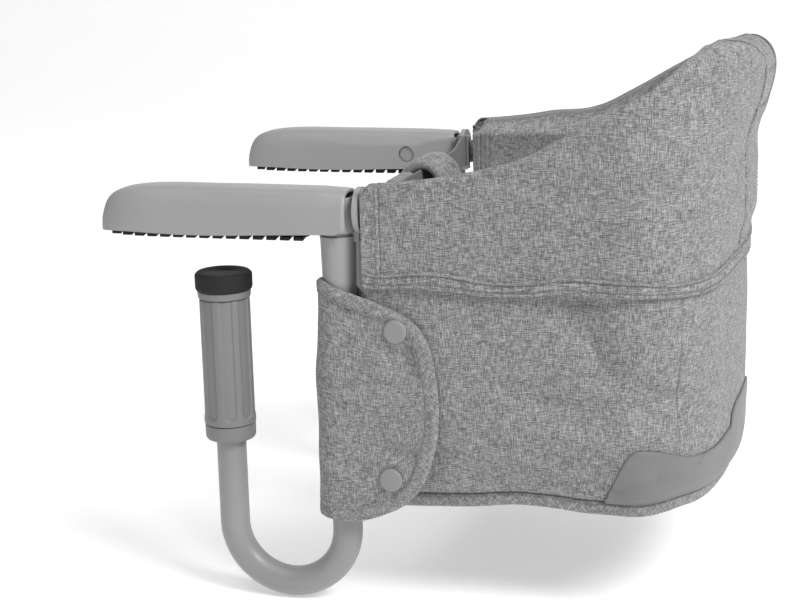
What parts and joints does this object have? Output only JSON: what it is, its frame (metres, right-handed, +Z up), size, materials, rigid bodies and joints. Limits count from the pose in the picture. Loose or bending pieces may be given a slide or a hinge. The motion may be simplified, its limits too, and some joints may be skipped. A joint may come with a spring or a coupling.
{
  "type": "hook on table chair",
  "caption": "Fabric bucket seat for a small child that hooks onto a table edge, with arms that rest on the top and screw clamps below.",
  "frame": {"origin": "on the plane of the table's top face, midway between the two upright legs", "axes": "+Z up, +X from the table towards the seat's back, +Y from the near (left) arm to the far (right) arm"},
  "size_m": [0.472, 0.3442, 0.409],
  "materials": {
    "grey_plastic": "moulded, fine satin grain",
    "dark_plastic": "moulded, matt",
    "black_rubber": "matt moulded rubber",
    "steel": "zinc plated, satin",
    "grey_lacquer": "satin powder coat",
    "melange_fabric": "woven melange polyester",
    "lining_fabric": "woven polyester lining",
    "coated_fabric": "smooth coated cloth",
    "webbing": "woven webbing"
  },
  "bodies": {
    "seat": {"corner_socket_left": "grey_plastic", "leg_flap_left": "melange_fabric", "flap_snap_upper_left": "grey_plastic", "flap_snap_lower_left": "grey_plastic", "hoop_clip_left": "dark_plastic", "side_panel_left": "melange_fabric", "corner_socket_right": "grey_plastic", "leg_flap_right": "melange_fabric", "flap_snap_upper_right": "grey_plastic", "flap_snap_lower_right": "grey_plastic", "hoop_clip_right": "dark_plastic", "side_panel_right": "melange_fabric", "seat_frame_tube": "grey_lacquer", "back_hoop": "steel", "upper_cover": "melange_fabric", "seat_lining": "lining_fabric", "back_panel": "melange_fabric", "bottom_binding": "melange_fabric", "wear_patch": "coated_fabric", "back_pocket": "melange_fabric", "top_roll": "melange_fabric", "seat_base": "melange_fabric", "seat_board": "dark_plastic", "seat_cushion": "lining_fabric", "crotch_strap": "melange_fabric", "crotch_loop": "melange_fabric", "waist_belt_left": "webbing", "waist_belt_right": "webbing", "buckle_socket": "dark_plastic", "buckle_tongue": "dark_plastic"},
    "arm_left": {"arm_cover_left": "grey_plastic", "arm_core_left": "dark_plastic", "arm_pad_left": "black_rubber", "arm_screw_left": "steel", "lock_spring_left": "steel", "hook_tube_left": "grey_lacquer", "spindle_nut_left": "dark_plastic"},
    "arm_right": {"arm_cover_right": "grey_plastic", "arm_core_right": "dark_plastic", "arm_pad_right": "black_rubber", "arm_screw_right": "steel", "lock_spring_right": "steel", "hook_tube_right": "grey_lacquer", "spindle_nut_right": "dark_plastic"},
    "clamp_left": {"clamp_foot_left": "black_rubber", "clamp_plate_left": "dark_plastic"},
    "clamp_right": {"clamp_foot_right": "black_rubber", "clamp_plate_right": "dark_plastic"},
    "knob_left": {"clamp_knob_left": "grey_plastic", "knob_collar_left": "grey_plastic", "clamp_spindle_left": "steel"},
    "knob_right": {"clamp_knob_right": "grey_plastic", "knob_collar_right": "grey_plastic", "clamp_spindle_right": "steel"},
    "button_left": {"lock_button_left": "dark_plastic"},
    "button_right": {"lock_button_right": "dark_plastic"}
  },
  "joints": [
    {"name": "arm_fold_left", "type": "hinge", "parent": "seat", "child": "arm_left", "pos_m": [0, -0.15, 0], "axis": [0, 0, -1], "range_deg": [0, 80]},
    {"name": "clamp_slide_left", "type": "slide", "parent": "arm_left", "child": "clamp_left", "axis": [0, 0, 1], "range_m": [-0.052, 0.007]},
    {"name": "knob_turn_left", "type": "hinge", "parent": "clamp_left", "child": "knob_left", "pos_m": [-0.089, -0.15, -0.1], "axis": [0, 0, 1], "range_deg": [-1565, 215]},
    {"name": "lock_press_left", "type": "slide", "parent": "arm_left", "child": "button_left", "axis": [0, -1, 0], "range_m": [0, 0.0035], "stiffness_N_per_m": 300, "springref_m": -0.001},
    {"name": "arm_fold_right", "type": "hinge", "parent": "seat", "child": "arm_right", "pos_m": [0, 0.15, 0], "axis": [0, 0, 1], "range_deg": [0, 57]},
    {"name": "clamp_slide_right", "type": "slide", "parent": "arm_right", "child": "clamp_right", "axis": [0, 0, 1], "range_m": [-0.052, 0.007]},
    {"name": "knob_turn_right", "type": "hinge", "parent": "clamp_right", "child": "knob_right", "pos_m": [-0.089, 0.15, -0.1], "axis": [0, 0, 1], "range_deg": [-1565, 215]},
    {"name": "lock_press_right", "type": "slide", "parent": "arm_right", "child": "button_right", "axis": [0, 1, 0], "range_m": [0, 0.0035], "stiffness_N_per_m": 300, "springref_m": -0.001}
  ],
  "couplings": [
    {"joint": "knob_turn_left", "follows": "clamp_slide_left", "rad_per_m": 523.6},
    {"joint": "knob_turn_right", "follows": "clamp_slide_right", "rad_per_m": 523.6}
  ]
}
